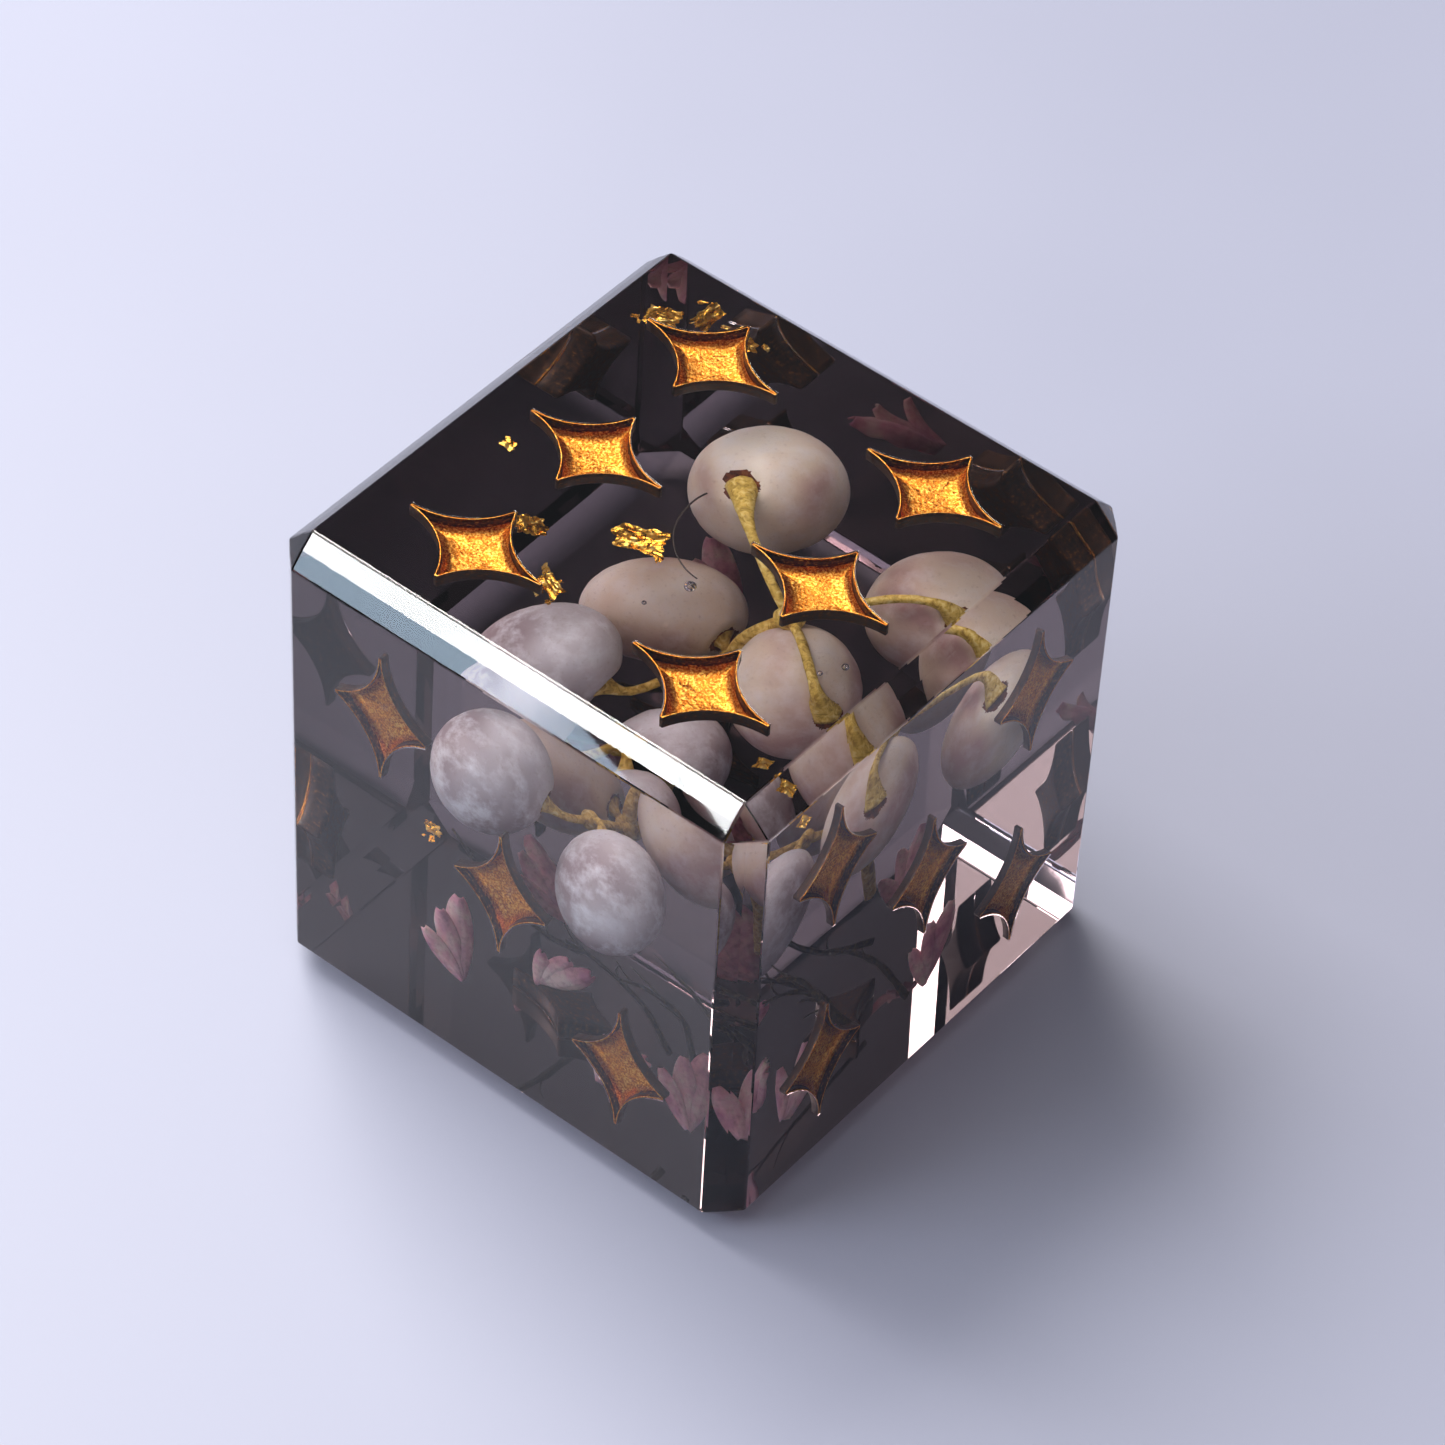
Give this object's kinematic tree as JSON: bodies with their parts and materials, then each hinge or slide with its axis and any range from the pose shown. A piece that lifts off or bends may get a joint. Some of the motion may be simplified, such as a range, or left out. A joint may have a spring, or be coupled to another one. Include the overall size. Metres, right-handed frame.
{
  "type": "six-sided die",
  "caption": "Smoky clear cast-resin die with flat-cut edges, recessed gold sparkle-shaped pips, and dried berries, petals and gold leaf sealed inside.",
  "frame": {"origin": "middle of the face the die rests on, the one, at the bottom of the bounding box", "axes": "+Z out of the six, -Y out of the three, +X out of the five; +Y is then the four and -X the two"},
  "size_m": [0.016, 0.016, 0.016],
  "materials": {
    "resin": "polished, smoky and clear",
    "pip_paint": "metallic gold paint, fine grain",
    "berry_skin": "frosty dried skin",
    "dry_stalk": "dull, fibrous",
    "petal": "dry petal",
    "dark_twig": "dull",
    "gold_leaf": "crumpled leaf",
    "dark_fibre": "dull"
  },
  "bodies": {
    "root": {"resin_body": "resin", "pip_one": "pip_paint", "pip_two_a": "pip_paint", "pip_two_b": "pip_paint", "pip_three_a": "pip_paint", "pip_three_b": "pip_paint", "pip_three_c": "pip_paint", "pip_four_a": "pip_paint", "pip_four_b": "pip_paint", "pip_four_c": "pip_paint", "pip_four_d": "pip_paint", "pip_five_a": "pip_paint", "pip_five_b": "pip_paint", "pip_five_c": "pip_paint", "pip_five_d": "pip_paint", "pip_five_e": "pip_paint", "pip_six_a": "pip_paint", "pip_six_b": "pip_paint", "pip_six_c": "pip_paint", "pip_six_d": "pip_paint", "pip_six_e": "pip_paint", "pip_six_f": "pip_paint", "berry_a": "berry_skin", "berry_b": "berry_skin", "berry_c": "berry_skin", "berry_d": "berry_skin", "berry_e": "berry_skin", "berry_f": "berry_skin", "sprig_stem": "dry_stalk", "petal_a": "petal", "petal_b": "petal", "petal_c": "petal", "petal_d": "petal", "petal_e": "petal", "petal_f": "petal", "twig_a": "dark_twig", "twig_b": "dark_twig", "twig_c": "dark_twig", "twig_d": "dark_twig", "twig_e": "dark_twig", "gold_flake_a": "gold_leaf", "gold_flake_b": "gold_leaf", "gold_flake_c": "gold_leaf", "gold_flake_d": "gold_leaf", "gold_flake_e": "gold_leaf", "gold_flake_f": "gold_leaf", "gold_flake_g": "gold_leaf", "gold_flake_h": "gold_leaf", "gold_flake_i": "gold_leaf", "fibre": "dark_fibre"}
  },
  "joints": []
}
